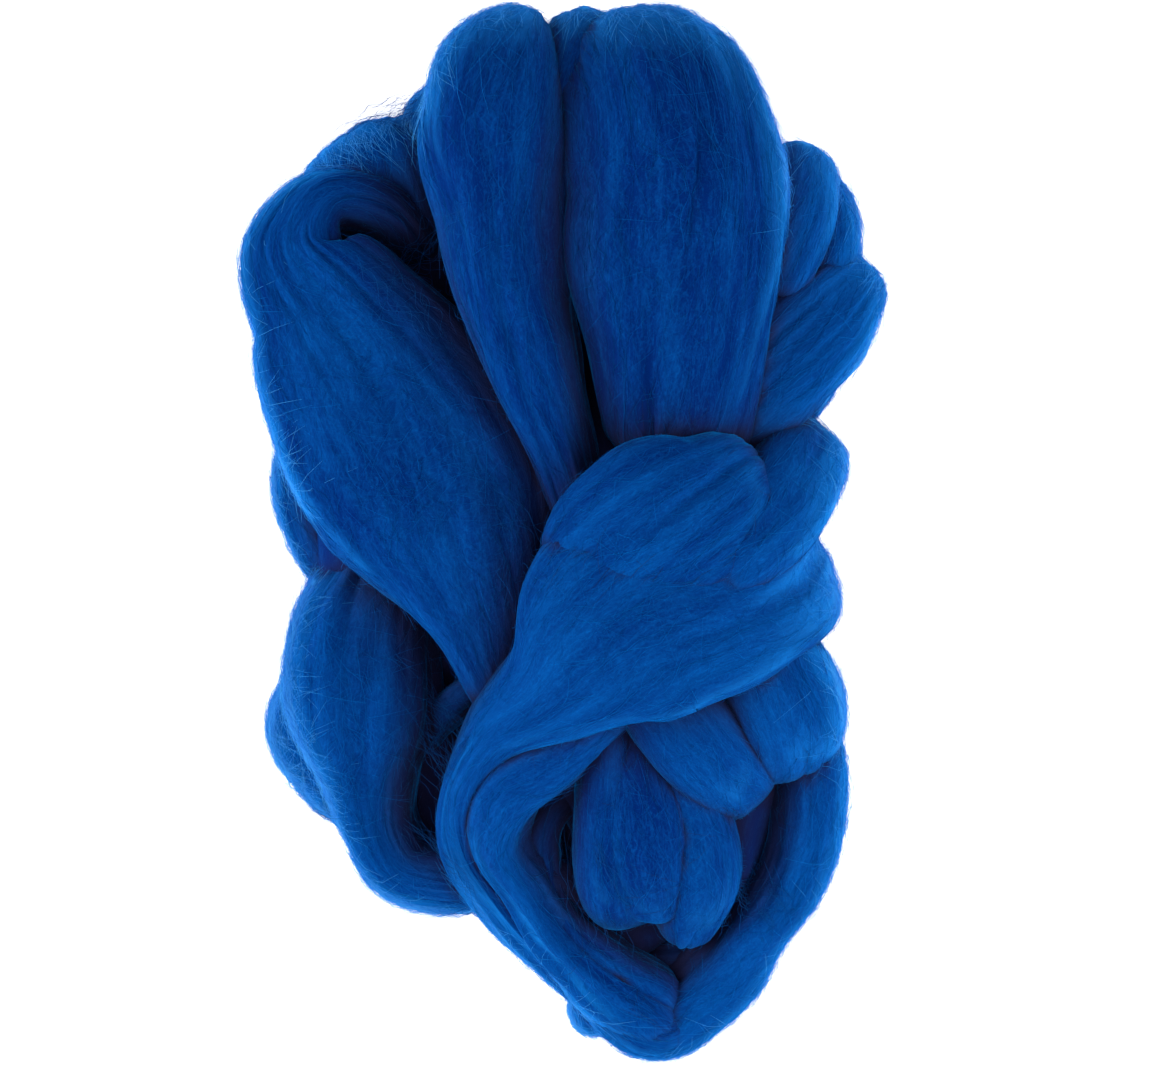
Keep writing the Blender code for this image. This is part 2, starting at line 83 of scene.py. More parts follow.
# Each pass is read from one end to the other. x, y and z are the middle of a section above the
# surface, width and height its size, in mm, and roll turns it about the path, in degrees. The
# outside of a fold is always the upper side of its pass.
PASSES = {
    # folds underneath, which the rest lies on
    "bed_left": ((-22, 92, 13, 36, 24), (-44, 55, 15, 46, 31), (-46, 15, 17, 44, 36),
        (-42, -30, 16, 44, 32), (-36, -70, 10, 34, 18), (-34, -88, 9, 20, 16)),
    "bed_middle": ((10, 108, 16, 40, 30), (6, 60, 17, 56, 36), (-2, 0, 17, 60, 36),
        (4, -60, 15, 44, 30), (22, -112, 8, 26, 15)),
    "bed_right": ((34, 94, 16, 30, 30), (45, 55, 17, 40, 36), (41, 5, 17, 48, 36),
        (43, -50, 17, 42, 36), (40, -98, 13, 24, 26)),
    "heart": ((8, 90, 28, 34, 26), (6, 45, 30, 44, 28), (12, -10, 40, 48, 32),
        (18, -50, 34, 50, 28), (20, -84, 22, 30, 22)),
    # lower folds that show at the edges
    "back_left_top": ((-38, 72, 21, 26, 20), (-46, 88, 26, 35, 22), (-50, 97.5, 20, 36, 20),
        (-46, 86, 12, 36, 22), (-34, 62, 12, 28, 20)),
    "back_top_tab": ((-24, 90, 26, 28, 20), (-30, 106, 25, 27, 18), (-32.5, 118, 24, 19, 14)),
    "back_left_edge": ((-64, 26, 15, 20, 20), (-67, 10, 16, 20, 20), (-62, -4, 16, 20, 20),
        (-52, -17, 14, 20, 18)),
    "back_right_upper": ((50, 58, 40, 22, 24), (59, 79, 40, 23, 26), (61, 90.5, 28, 22, 24),
        (57, 78, 16, 24, 26), (46, 58, 16, 24, 26)),
    "back_right_outer": ((58, 56, 31, 20, 22), (65, 74, 31, 20, 22), (65.5, 82, 22, 18, 20, 25),
        (66, 72, 13, 20, 22), (58, 50, 13, 20, 22)),
    "back_right_lower": ((34, 24, 43, 34, 22), (49, 40, 44, 38, 26), (65, 54.5, 40, 35, 27),
        (72.5, 63, 29, 27, 26), (67, 58, 17, 28, 26), (56, 42, 15, 34, 28), (34, 26, 15, 28, 28)),
    "lower_left_outer": ((-50, -28, 12, 18, 20), (-60.5, -40, 12, 19, 22), (-66, -50, 12, 20, 22),
        (-59.5, -63, 12, 17, 20), (-48, -74, 12, 16, 18)),
    "lower_left": ((-42, 2, 18, 26, 24), (-48, -12, 20, 30, 28), (-52, -28, 23, 36, 36),
        (-52.5, -44, 24, 37, 40), (-52, -60, 20, 26, 34), (-50, -75, 16, 19, 28),
        (-43, -87.5, 14, 18, 26), (-30, -91, 13, 18, 22), (-12, -88, 12, 18, 20)),
    "gap_stub": ((-13, -35, 33, 9, 10), (-20, -39, 33, 11, 11), (-27, -44, 31, 12, 12),
        (-32, -50, 27, 11, 11), (-35, -56, 21, 9, 9)),
    "bottom_stub": ((20, -108, 10, 14, 16), (11, -119, 8, 15, 16), (9, -126, 8, 13, 15),
        (11, -133, 7, 10, 12)),
    # the broad fold on the left, and the short ones on the lower right
    "left_sweep": ((0, -62, 24, 16, 16), (-13, -41, 38, 19, 20), (-19, -17, 44, 40, 25, -5),
        (-29, 9, 45, 63, 28, -9), (-47, 36, 43, 61, 28, -9), (-60, 57, 41, 46, 27, -6),
        (-68, 73, 38, 31, 26), (-62, 84, 36, 20, 25), (-52, 83, 32, 16, 22), (-45, 76, 26, 12, 18),
        (-43, 69, 18, 9, 14)),
    "tongue_right": ((12, -36, 38, 18, 18), (20, -56, 39, 24, 20), (29, -73, 38, 29, 24),
        (33, -86, 34, 27, 26), (32.5, -97, 27, 20, 22), (31, -107, 20, 12, 16)),
    "tongue_join": ((11, -46, 40, 20, 18), (17, -62, 43, 24, 19), (20, -78, 41, 25, 20),
        (22.5, -90, 34, 20, 20), (24, -99, 26, 13, 18)),
    "tongue_left": ((9, -34, 40, 16, 18), (12, -56, 43, 18, 20), (13, -76, 40, 20, 24),
        (14.5, -88, 33, 21, 24), (16, -93, 23, 18, 20), (12, -80, 16, 16, 16)),
    "lobe_low": ((14, -24, 46, 22, 22), (27, -42, 49, 25, 24), (38, -55, 45, 26, 25),
        (44, -62, 34, 25, 22), (38, -52, 25, 22, 20)),
    "lobe_right": ((39, -14, 44, 22, 22), (51, -33, 48, 26, 24), (57, -44.5, 44, 28, 25),
        (58.5, -52.5, 32, 26, 22), (54, -44, 24, 22, 20)),
    # the loop at the foot of the bundle, and the strands inside it
    "right_loop": ((6, -116, 10, 16, 18), (25, -129, 10, 20, 20), (38, -120, 12, 22, 23),
        (49, -106, 15, 21, 27), (58.8, -91.5, 18, 21, 30), (63.8, -75.5, 20, 20, 32),
        (63.5, -58, 20, 18, 30), (56, -42, 18, 16, 24)),
    "loop_strand": ((20, -112, 8, 14, 14), (36, -109, 10, 15, 14), (46, -99, 9, 16, 13),
        (51, -86, 8, 18, 13), (52, -70, 8, 16, 13), (50, -54, 8, 12, 12)),
    "inner_strand": ((4, -60, 26, 14, 14), (-6, -76, 28, 12, 16), (-5, -90, 25, 13, 18),
        (2, -103, 21, 13, 20), (13, -113, 17, 14, 20), (25, -121, 13, 14, 18),
        (15, -120, 8, 13, 14)),
    "second_strand": ((16, -38, 48, 20, 16), (0, -53, 48, 18, 18), (-12, -64, 42, 13, 22),
        (-14.5, -77, 34, 13, 24), (-8, -91, 27, 19, 26), (1, -105, 21, 20, 25),
        (13, -117, 17, 18, 22), (23, -126, 12, 16, 18), (14, -121, 8, 14, 14)),
    # the two tall folds at the head
    "top_left": ((7, 2, 44, 14, 18), (1, 21, 49, 18, 25), (-6, 40, 52, 24, 31),
        (-12, 60, 53, 28, 35), (-15.5, 80, 53.5, 32, 36), (-17.5, 99, 52, 38, 36),
        (-16, 112, 48, 34, 34), (-14, 120, 36, 24, 32), (-17, 112, 22, 34, 30),
        (-18, 98, 17, 38, 32), (-10, 60, 16, 32, 30), (2, 22, 18, 24, 22)),
    "top_right": ((26, 16, 46, 34, 22), (28, 34, 52, 42, 29), (28.5, 50, 54, 49, 34),
        (28, 70, 55.5, 57, 38), (27.5, 90, 55, 57, 38), (23.5, 108, 51, 53, 36, -6),
        (18, 117.5, 38, 50, 34, -18), (23, 108, 23, 44, 32, -6), (27, 92, 18, 46, 34),
        (29, 60, 17, 46, 32), (24, 26, 18, 34, 24)),
    "head_join": ((-1, 78, 32, 20, 22), (-1, 98, 41, 24, 28), (2, 113.5, 42, 24, 30),
        (4, 122, 32, 24, 27), (-1, 108, 20, 24, 28), (-1, 90, 16, 20, 24)),
    # the length that wraps round the middle and runs down into the loop
    "wrap_hump": ((0, -14, 60, 22, 16), (9, -6, 65.5, 36, 20), (22, 1, 68.5, 41, 21),
        (36, 7.5, 66, 36, 20), (43.5, 12.5, 59, 26, 18), (46, 10, 50, 16, 14)),
    "wrap_corner": ((26, -13, 60, 16, 13), (40, -4.5, 64, 25, 16), (52.5, 6.5, 58, 25, 17),
        (61, 19.5, 39.5, 22, 17), (58.5, 17, 18, 22, 18), (42, -4, 20, 20, 16)),
    "wrap": ((34, -124, 9, 14, 14), (24, -129, 11, 19, 20), (11, -116.5, 14, 16, 22),
        (-1.5, -105.5, 17, 15.5, 24), (-13.5, -93.5, 22, 17, 25), (-23, -78, 30, 16, 26),
        (-23, -63, 39, 14, 25), (-15, -49, 50, 16, 24), (-1.5, -38.5, 60, 31, 22),
        (9, -27.5, 66, 52, 20), (20, -19, 68, 57, 20), (36, -14, 65, 52, 20),
        (50.5, -8.5, 54, 49, 20), (57.5, -1, 33, 48, 20), (52, -3, 15, 48, 20),
        (34, -4, 12, 40, 20)),
}

# Soft troughs that run along the upper side of a pass: their start and end as shares of its
# length, where they are across it there, from -1 on its left to 1 on its right, and their width
# and depth in mm.
CREASES = {
    "left_sweep": ((0.25, 0.8, -0.2, 0.1, 3, 1.2), (0.15, 0.6, 0.3, 0.25, 3, 1)),
    "lobe_right": ((0.3, 0.65, -0.1, -0.25, 2.5, 1.4),),
    "top_left": ((0.03, 0.42, -0.6, 0, 2.8, 2.6), (0.15, 0.42, 0.4, 0.47, 2.5, 1.2),
        (0, 0.5, 0.88, 0.86, 4, 5)),
    "top_right": ((0.2, 0.42, 0.02, 0.28, 3, 2.4), (0.06, 0.22, -0.33, -0.25, 2.6, 1.8),
        (0.38, 0.55, 0.75, 0.7, 3, 1.5), (0, 0.5, -0.9, -0.86, 5, 6)),
    "second_strand": ((0.42, 0.86, 0.2, -0.15, 2, 1.5), (0.3, 0.6, -0.45, -0.35, 2, 1.2)),
    "lower_left": ((0.2, 0.55, -0.3, 0.1, 3, 1.6),),
    "wrap_hump": ((0.38, 0.8, 0.05, -0.35, 2, 2),),
    "wrap": ((0.05, 0.4, 0.1, 0, 2.5, 1.2), (0.14, 0.34, -0.55, -0.35, 1.8, 1),
        (0.66, 0.92, 0.45, 0.12, 3, 1.8), (0.7, 0.92, -0.02, -0.42, 3, 1.5)),
}

# The passes that each piece of the model holds, and the passes that hardly show.
PIECES = {
    "under_folds": ("bed_left", "bed_middle", "bed_right", "heart"),
    "outer_folds": (
        "back_left_top", "back_top_tab", "back_left_edge", "back_right_upper", "back_right_outer",
        "back_right_lower", "lower_left_outer", "lower_left", "gap_stub", "bottom_stub"),
    "broad_fold": ("left_sweep",),
    "short_folds": ("tongue_right", "tongue_join", "tongue_left", "lobe_low", "lobe_right"),
    "loop_strands": ("right_loop", "loop_strand", "inner_strand", "second_strand"),
    "head_fold_left": ("top_left",),
    "head_fold_right": ("top_right", "head_join"),
    "middle_wrap": ("wrap_hump", "wrap_corner", "wrap"),
}
HARDLY_SHOWN = PIECES["under_folds"]

# The furrows between clumps of fibres, from the broad ones down: how far apart they start along
# the fibres and across them, how deep they are, in mm, and how much their ridges are rounded.
FURROWS = (
    (70, 11.0, 1.2, 0.3), (15, 9.0, 0.6, 0.2), (46, 5.0, 0.7, 0.8),
    (26, 2.6, 0.32, 0.7), (15, 1.3, 0.16, 0.5))

# The cells that furrows fade over, those of lumps and dents with their depths, and those over
# which fibres wander aside, in mm. The straightened passes of a piece lie apart in its finish.
FADE_CELL = (40, 20, 20)
LUMP_CELL = (38, 26, 26)
LUMP_DEPTH = 2.0
DENT_CELL = (17, 11, 11)
DENT_DEPTH = 0.55
WANDER_CELL = (60, 30, 30)
WANDER = 2.2 * MM
STRAND_APART = 0.5

# How much lighter or darker than the rest a pass is painted, as a share of its tones.
# This is painted light and shade, for how light falls on each pass and on the folds underneath.
PAINTED_PASS_SHADES = {
    "top_left": -0.2, "top_right": -0.24, "head_join": -0.24, "left_sweep": -0.08,
    "tongue_left": -0.2, "tongue_right": -0.14, "tongue_join": -0.2, "wrap_hump": -0.06,
    "inner_strand": -0.2, "back_right_lower": 0.1, "back_right_upper": 0.08,
    "back_right_outer": 0.08, **dict.fromkeys(HARDLY_SHOWN, -0.4),
}

# How many times more fine hairs a ruffled pass has.
RUFFLED = {
    "lower_left": 2.2, "lower_left_outer": 2.4, "back_left_edge": 2.2, "back_top_tab": 1.8,
    "back_left_top": 1.5, "gap_stub": 3.0, "back_right_outer": 1.5, "bottom_stub": 1.5,
}

# How many times deeper the relief of a rumpled pass is.
RUMPLED = {
    "loop_strand": 1.7, "second_strand": 1.8, "inner_strand": 1.8, "right_loop": 1.3,
    "lower_left": 1.5, "lower_left_outer": 1.6, "back_right_outer": 1.3, "left_sweep": 1.2,
    "gap_stub": 1.6, "bottom_stub": 1.5,
}

# Long curly fibres: where they start and end, how many there are, how far those places are
# spread, how far their middles bow aside and how wide they curl, in mm.
STRAYS = (
    ((-50, 62, 34), (-27, 84, 38), 14, 5, 6, 2.6),
    ((-46, 72, 34), (-32, 52, 38), 10, 4, 5, 2.4),
    ((-56, 103, 24), (-37, 111, 30), 70, 3.0, 3, 0.8),
    ((-18, 8, 40), (-4, -12, 42), 12, 4, 3, 1.2),
    ((-40, -42, 34), (-22, -66, 34), 45, 5, 4, 1.2),
    ((-38, -78, 24), (-24, -96, 22), 35, 4, 4, 1.2),
    ((42, -86, 26), (58, -100, 22), 30, 5, 4, 1.4),
    ((6, -76, 40), (10, -104, 30), 20, 4, 3, 1.2))

# ---------- how fibres and light are laid out

Fibres = namedtuple("Fibres", "steps tone tone_spread taper crimp crimp_length")

# The steps of a fibre of each kind, its middle tone and how far tones spread, how much its ends
# taper, and how wide and long its crimp is, in mm.
LAID = Fibres(8, 0.52, 0.17, 0.5, 1.0, 5)
HAIRS = Fibres(3, 0.54, 0.17, 0.6, 1.0, 3)
CURLS = Fibres(28, 0.7, 0.2, 0.5, 0.8, 5)
# How open stray curls count as, for the painted shade of creases on them.
CURLS_OPEN = 0.55
FACES_A_PIECE = 195_000
BURIED_DEPTH = 2.5 * MM

# The rays that tell how open a place is: how many leave it, how far they look, how far off the
# skin they start, how much they face out at least, and which slopes look at the open floor.
SKY_RAYS = 60
SKY_REACH = 32 * MM
SKY_START = 1.0 * MM
SKY_FACING = 0.15
FLOOR_SLOPE = (-0.75, -0.12)
FLOOR_REACH = 70 * MM

# How open wool is where its painted shade in creases is darkest and where it is fully lit.
CREASE_SKY = (0.08, 1.0)

# Painted light: flanks that face the lit floor get a pale glow painted on, as of floor light
# through thin wool: how strongly, how level a flank may be above and below, what a ruffled pass
# adds, and the share of lit floor where that starts and how soon it is full. The edge colour, the
# palest painted glow, takes over where the wool is thinnest.
RIM_GAIN = 1.35
RIM_FACING = 0.82
UNDER_FACING = 0.35
RUFFLED_POWER = 0.35
RIM_LIT = 0.70
RIM_LIT_SPAN = 0.22
RIM_SHARE = 0.9
FOLD_PALENESS = 0.76
EDGE_GAIN = 2.4
EDGE_CUT = 1.35

# The fine lines of the finish: how far they drift off the fibres, how long and wide their grains
# are, in mm, how thin they are and how much they weigh.
STREAKS = (
    (0.03, 30, 0.8, 14, 0.26), (0.12, 24, 0.7, 14, 0.24),
    (-0.2, 20, 1.1, 22, 0.2), (0.55, 9, 0.9, 20, 0.2),
    (-0.7, 8, 1.0, 20, 0.2), (0.9, 4.5, 1.3, 18, 0.14))

# The tone of plain wool, and what the fine lines, the haze and a fibre's patches add to it.
BASE_TONE = 0.24
STREAK_TONE = 0.56
HAZE_TONE = 0.9
PATCH_TONE = 0.5
CRIMP = 1.6 * MM

# The floor, the lights and the camera, in metres around the middle of the bundle.
FLOOR_SIZE = 6.0
FLOOR_DROP = 0.3 * MM
LIGHT_SIZE = 0.7
LIGHTS = {"left": (-0.75, 0.0, 0.42), "right": (0.75, -0.1, 0.42), "foot": (0.1, -0.8, 0.5)}
CAMERA_LENS = 120
CAMERA_PLACE = (2.04 * MM, 1.78 * MM, 1.0267)

# ---------- skins of the folds

def smooth_path(rows, step):
    """Rows of a table read off one smooth curve through them, evenly spaced along its length."""
    chord = np.linalg.norm(np.diff(rows[:, :3], axis=0), axis=1)
    place = np.r_[0.0, np.cumsum(chord)]
    slope = np.gradient(rows, place, axis=0)
    fine_place = np.linspace(0.0, place[-1], 24 * len(rows))
    first = np.clip(np.searchsorted(place, fine_place, side="right") - 1, 0, len(rows) - 2)
    span = (place[first + 1] - place[first])[:, None]
    u = (fine_place - place[first])[:, None] / span
    fine = (
        (2 * u**3 - 3 * u**2 + 1) * rows[first]
        + (u**3 - 2 * u**2 + u) * span * slope[first]
        + (3 * u**2 - 2 * u**3) * rows[first + 1]
        + (u**3 - u**2) * span * slope[first + 1]
    )
    lengths = np.linalg.norm(np.diff(fine[:, :3], axis=0), axis=1)
    length = np.r_[0.0, np.cumsum(lengths)]
    stations = max(8, round(length[-1] / step))
    near_end = END_REACH * (1 - np.cos(np.linspace(0.0, 0.5 * math.pi, 8)))
    middle = np.linspace(END_REACH, length[-1] - END_REACH, stations)[1:-1]
    at = np.r_[near_end, middle, (length[-1] - near_end)[::-1]]
    return np.stack([np.interp(at, length, column) for column in fine.T], axis=1), at


def unit(vectors):
    """Vectors brought to a length of one."""
    return vectors / np.maximum(np.linalg.norm(vectors, axis=-1, keepdims=True), 1e-12)


def mirrored(vector, normal):
    """A vector mirrored in the plane across another."""
    return vector - 2 * (normal @ vector) / max(normal @ normal, 1e-12) * normal


def section_axes(centre, roll):
    """The across and up axes of each section, level where the pass is highest and untwisted."""
    tangent = unit(np.gradient(centre, axis=0))
    across = np.zeros_like(centre)
    top = int(np.argmax(centre[:, 2]))
    across[top] = unit(np.cross(tangent[top], (0.0, 0.0, 1.0)))
    onward = [(k, k - 1) for k in range(top + 1, len(centre))]
    back = [(k, k + 1) for k in range(top - 1, -1, -1)]
    for k, known in onward + back:
        step = centre[k] - centre[known]
        turn = tangent[k] - mirrored(tangent[known], step)
        across[k] = mirrored(mirrored(across[known], step), turn)
    up = np.cross(across, tangent)
    turn = roll[:, None]
    return across * np.cos(turn) + up * np.sin(turn), up * np.cos(turn) - across * np.sin(turn)


def rounded_ends(at, height):
    """The share of its full section that a pass has at each station, closing at both ends."""
    from_ends = np.stack([at / (0.5 * height[0]), (at[-1] - at) / (0.5 * height[-1])])
    inside = 1 - (1 - np.clip(from_ends, 0.0, 1.0)) ** 2
    return np.maximum(np.sqrt(inside.prod(axis=0)), END_SHARE)


def crease_depth(creases, share, place, half_width):
    """How far the upper side sinks at each point, from the creases of its pass."""
    sunk = np.zeros((len(share), len(place)))
    for start, end, side_start, side_end, width, depth in creases:
        reach = 0.5 * (end - start)
        along = np.clip(1 - np.abs(share - 0.5 * (start + end)) / reach, 0.0, 1.0)
        u = np.clip((share - start) / (2 * reach), 0.0, 1.0)
        line = side_start + (side_end - side_start) * u
        off = (place[None, :] - line[:, None]) * half_width[:, None] / (width * MM)
        sunk += depth * MM * np.sqrt(along)[:, None] * np.exp(-off**2)
    return sunk


def cell_noise(places, cell, seed):
    """Smooth noise from about -1 to 1 at a grid of places. The size of its cells is in mm."""
    flat = places.reshape(-1, 3)
    grid = (flat - flat.min(axis=0)) / (np.array(cell, float) * MM)
    low = np.floor(grid).astype(int)
    part = grid - low
    part = part * part * (3 - 2 * part)
    corners = np.random.default_rng(seed).uniform(-1.6, 1.6, tuple(low.max(axis=0) + 2))
    total = np.zeros(len(flat))
    for corner in np.ndindex(2, 2, 2):
        weight = np.prod(np.where(corner, part, 1 - part), axis=1)
        total += weight * corners[tuple((low + corner).T)]
    return total.reshape(places.shape[:-1])


def ring_places(aspect, girth, fine_step, coarse_step):
    """Angles round a section from its underside, close together on the side that shows."""
    dense = np.linspace(-0.5 * math.pi, 1.5 * math.pi, 2881)
    edge = np.hypot(np.diff(aspect * np.cos(dense)), np.diff(np.sin(dense)))
    share = np.r_[0.0, np.cumsum(edge)] / edge.sum()
    middle = 0.5 * (dense[1:] + dense[:-1])
    hidden = np.clip((HIDDEN_FROM - np.sin(middle)) / HIDDEN_SOON, 0.0, 1.0)
    steps = edge / edge.sum() * girth / (fine_step + (coarse_step - fine_step) * hidden)
    count = np.r_[0.0, np.cumsum(steps)]
    ring = max(24, round(count[-1]))
    places = np.linspace(0.0, count[-1], ring + 1)[:-1]
    return np.interp(places, count, dense), np.interp(places, count, share)


def settled(points):
    """Points let down on the surface below, with a soft edge where they meet it."""
    height = points[..., 2:]
    level = 0.5 * (height + np.hypot(height, REST_EDGE)) + REST_HEIGHT
    return np.concatenate([points[..., :2], level], axis=-1)


class Skin:
    """The outside of a pass: a grid of points along the fibres and round them."""

    def __init__(self, name, sizes, seed):
        sections = np.array([Section(*row) for row in PASSES[name]], float)
        sections = sections * ([MM] * 5 + [math.radians(1)])
        self.shade = PAINTED_PASS_SHADES.get(name, 0.0)
        self.ruffled = RUFFLED.get(name, 1.0)
        self.coarse = name in HARDLY_SHOWN
        row, self.along = smooth_path(
            sections, sizes.hidden_step if self.coarse else sizes.step_along)
        centre = row[:, :3] - np.array(MIDDLE) * MM
        width, height = row[:, 3], row[:, 4]
        across, up = section_axes(centre, row[:, 5])
        share = rounded_ends(self.along, height)
        half_width = 0.5 * width * share
        half_height = 0.5 * height * share
        self.girth = float(np.mean(math.pi * 0.55 * (width + height)))
        angle, self.turn = ring_places(
            float(np.mean(width / height)), self.girth,
            sizes.hidden_step if self.coarse else sizes.step_across, sizes.hidden_step)
        level, rise = (
            np.sign(part) * np.abs(part) ** (2 / SECTION_POWER)
            for part in (np.cos(angle), np.sin(angle)))
        upward = np.clip(np.sin(angle), 0.0, 1.0)[None, :] * share[:, None]
        sunk = upward * crease_depth(
            CREASES.get(name, ()), self.along / self.along[-1], level, half_width)
        lift = half_height[:, None] * rise[None, :] - sunk
        smooth = (
            centre[:, None] + across[:, None] * (half_width[:, None] * level)[:, :, None]
            + up[:, None] * lift[:, :, None]
        )
        around = np.roll(smooth, -1, axis=1) - np.roll(smooth, 1, axis=1)
        self.normals = unit(np.cross(np.gradient(smooth, axis=0), around))
        self.strand = self.strand_places(seed)
        relief = self.relief(seed) * sizes.furrows * RUMPLED.get(name, 1.0)
        relief = relief * np.clip(share[:, None] - 0.2, 0.0, 1.0) ** 1.5
        self.points = settled(smooth + self.normals * relief[:, :, None])

    def strand_places(self, seed):
        """Where each point is in the straightened pass: along it and round a cylinder."""
        radius = self.girth / (2 * math.pi)
        along, turn = np.meshgrid(self.along, self.turn * 2 * math.pi, indexing="ij")

        def on_cylinder(turn):
            return np.stack([along, radius * np.cos(turn), radius * np.sin(turn)], axis=-1)

        shift = WANDER * cell_noise(on_cylinder(turn), WANDER_CELL, seed + 900) / radius
        self.shift = shift[..., None] / (2 * math.pi)
        return on_cylinder(turn + shift)

    def relief(self, seed):
        """The height of clumps and furrows over the smooth section."""
        height = LUMP_DEPTH * cell_noise(self.strand, LUMP_CELL, seed)
        height += DENT_DEPTH * cell_noise(self.strand, DENT_CELL, seed + 70)
        for k, (along, across, depth, rounded) in enumerate(FURROWS):
            noise = cell_noise(self.strand, (along, across, across), seed + 10 * k + 1)
            ridge = 2 * np.abs(noise) ** 0.7 - 1.0
            fade = 0.75 + 0.6 * cell_noise(self.strand, FADE_CELL, seed + 10 * k + 2)
            clump = noise * (1 - rounded) + ridge * rounded
            height += depth * np.clip(fade, 0.15, 1.5) * clump
        return height * MM

    def read(self, values, along, turn):
        """Values of the grid at any places, given as lengths along and shares of a turn."""
        s = np.clip(along / self.along[-1], 0.0, 1.0) * (len(self.along) - 1)
        s0 = np.clip(np.floor(s).astype(int), 0, len(self.along) - 2)
        turn = turn % 1.0
        r0 = np.searchsorted(self.turn, turn, side="right") - 1
        r1 = (r0 + 1) % len(self.turn)
        gap = (self.turn[r1] - self.turn[r0]) % 1.0
        v = (((turn - self.turn[r0]) % 1.0) / gap)[..., None]
        u = (s - s0)[..., None]
        lower = values[s0, r0] * (1 - v) + values[s0, r1] * v
        upper = values[s0 + 1, r0] * (1 - v) + values[s0 + 1, r1] * v
        return lower * (1 - u) + upper * u


def joined(grids):
    """The points of several grids in one row."""
    return np.concatenate([grid.reshape(-1, *grid.shape[2:]) for grid in grids])


def tube_faces(grids):
    """The faces round tubes and at their ends. Points are numbered tube by tube."""
    sides, ends, start = [], [], 0
    for grid in grids:
        stations, ring = grid.shape[:2]
        first = start + np.arange(stations - 1)[:, None] * ring
        k = np.arange(ring)[None, :]
        after = (k + 1) % ring
        quads = [first + k, first + ring + k, first + ring + after, first + after]
        sides += np.stack(quads, axis=-1).reshape(-1, 4).tolist()
        last = start + (stations - 1) * ring
        ends += [list(range(start, start + ring)), list(range(last, last + ring))[::-1]]
        start = last + ring
    return sides, ends


def store(mesh, **grids):
    """Stores a number for each point of a mesh under each name."""
    for name, values in grids.items():
        mesh.attributes.new(name, "FLOAT", "POINT").data.foreach_set(
            "value", np.ascontiguousarray(values, np.float32).ravel())


def skins_mesh(name, skins):
    """One mesh of several closed skins, with the straightened place of each point."""
    sides, ends = tube_faces([skin.points for skin in skins])
    mesh = bpy.data.meshes.new(name)
    mesh.from_pydata(joined(skin.points for skin in skins).tolist(), [], sides + ends)
    strand = joined(skin.strand + (0.0, 0.0, k * STRAND_APART) for k, skin in enumerate(skins))
    mesh.attributes.new("strand", "FLOAT_VECTOR", "POINT").data.foreach_set(
        "vector", strand.astype(np.float32).ravel())
    store(
        mesh, open=joined(skin.open for skin in skins), rim=joined(skin.rim for skin in skins),
        shade=joined(np.full(skin.rim.shape, skin.shade) for skin in skins))
    mesh.shade_smooth()
    return mesh


def link(name, data):
    """A new object of the scene."""
    thing = bpy.data.objects.new(name, data)
    bpy.context.scene.collection.objects.link(thing)
    return thing


def add_piece(name, mesh, material):
    """Puts a mesh in the model as a piece that stands for the solid."""
    mesh.materials.clear()
    mesh.materials.append(material)
    piece = link(name, mesh)
    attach(piece, BODY)
    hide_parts(NODE)


# ---------- node trees from Python

class Wire:
    """What comes out of a node. Sums on it add Math nodes."""

    def __init__(self, tree, socket):
        self.tree = tree
        self.socket = socket

    def math(self, operation, *values):
        return self.tree.node("ShaderNodeMath", dict(enumerate(values)), operation=operation)

    def __add__(self, other):
        return self.math("ADD", self, other)

    def __sub__(self, other):
        return self.math("SUBTRACT", self, other)

    def __rsub__(self, other):
        return self.math("SUBTRACT", other, self)

    def __mul__(self, other):
        return self.math("MULTIPLY", self, other)

    def __rtruediv__(self, other):
        return self.math("DIVIDE", other, self)

    def __abs__(self):
        return self.math("ABSOLUTE", self)

    def clamped(self):
        return self.math("MINIMUM", self.math("MAXIMUM", self, 0.0), 1.0)

    __radd__ = __add__
    __rmul__ = __mul__


class NodeTree:
    """A node tree, for a finish or for shapes, that is built by adding one node at a time."""

    def __init__(self, tree):
        self.tree = tree
        self.tree.nodes.clear()

    def node(self, kind, sockets={}, output=0, **settings):
        """Adds a node, with its own settings and the values or links of its sockets, and gives
        one of its outputs."""
        node = self.tree.nodes.new(kind)
        for name, value in settings.items():
            setattr(node, name, value)
        for name, value in sockets.items():
            if isinstance(value, Wire):
                self.tree.links.new(value.socket, node.inputs[name])
            else:
                node.inputs[name].default_value = value
        return Wire(self, node.outputs[output]) if node.outputs else None

    def attribute(self, name, output="Fac"):
        """What the mesh stores under a name."""
        return self.node("ShaderNodeAttribute", {}, output, attribute_name=name)

    def vector(self, operation, first, second):
        """Vector maths on two places, or on a place and a number."""
        sockets = {0: first, "Scale" if operation == "SCALE" else 1: second}
        return self.node("ShaderNodeVectorMath", sockets, operation=operation)

    def mix(self, share, first, second):
        """One colour where share is 0 and the other where it is 1."""
        first, second = (
            colour if isinstance(colour, Wire) else (*colour, 1.0) for colour in (first, second))
        return self.node("ShaderNodeMix", {0: share, 6: first, 7: second}, 2, data_type="RGBA")

    def noise(self, place, size, detail=2.0, output="Fac"):
        """Noise whose grains are as long as size, in mm, along each axis of place."""
        scaled = self.vector("MULTIPLY", place, tuple(1 / (MM * length) for length in size))
        sockets = {"Vector": scaled, "Scale": 1.0, "Detail": detail}
        return self.node("ShaderNodeTexNoise", sockets, output)


def empty_tree(holder):
    """The node tree of a new material or sky, with nothing in it."""
    holder.use_nodes = True
    return NodeTree(holder.node_tree)


# ---------- finishes

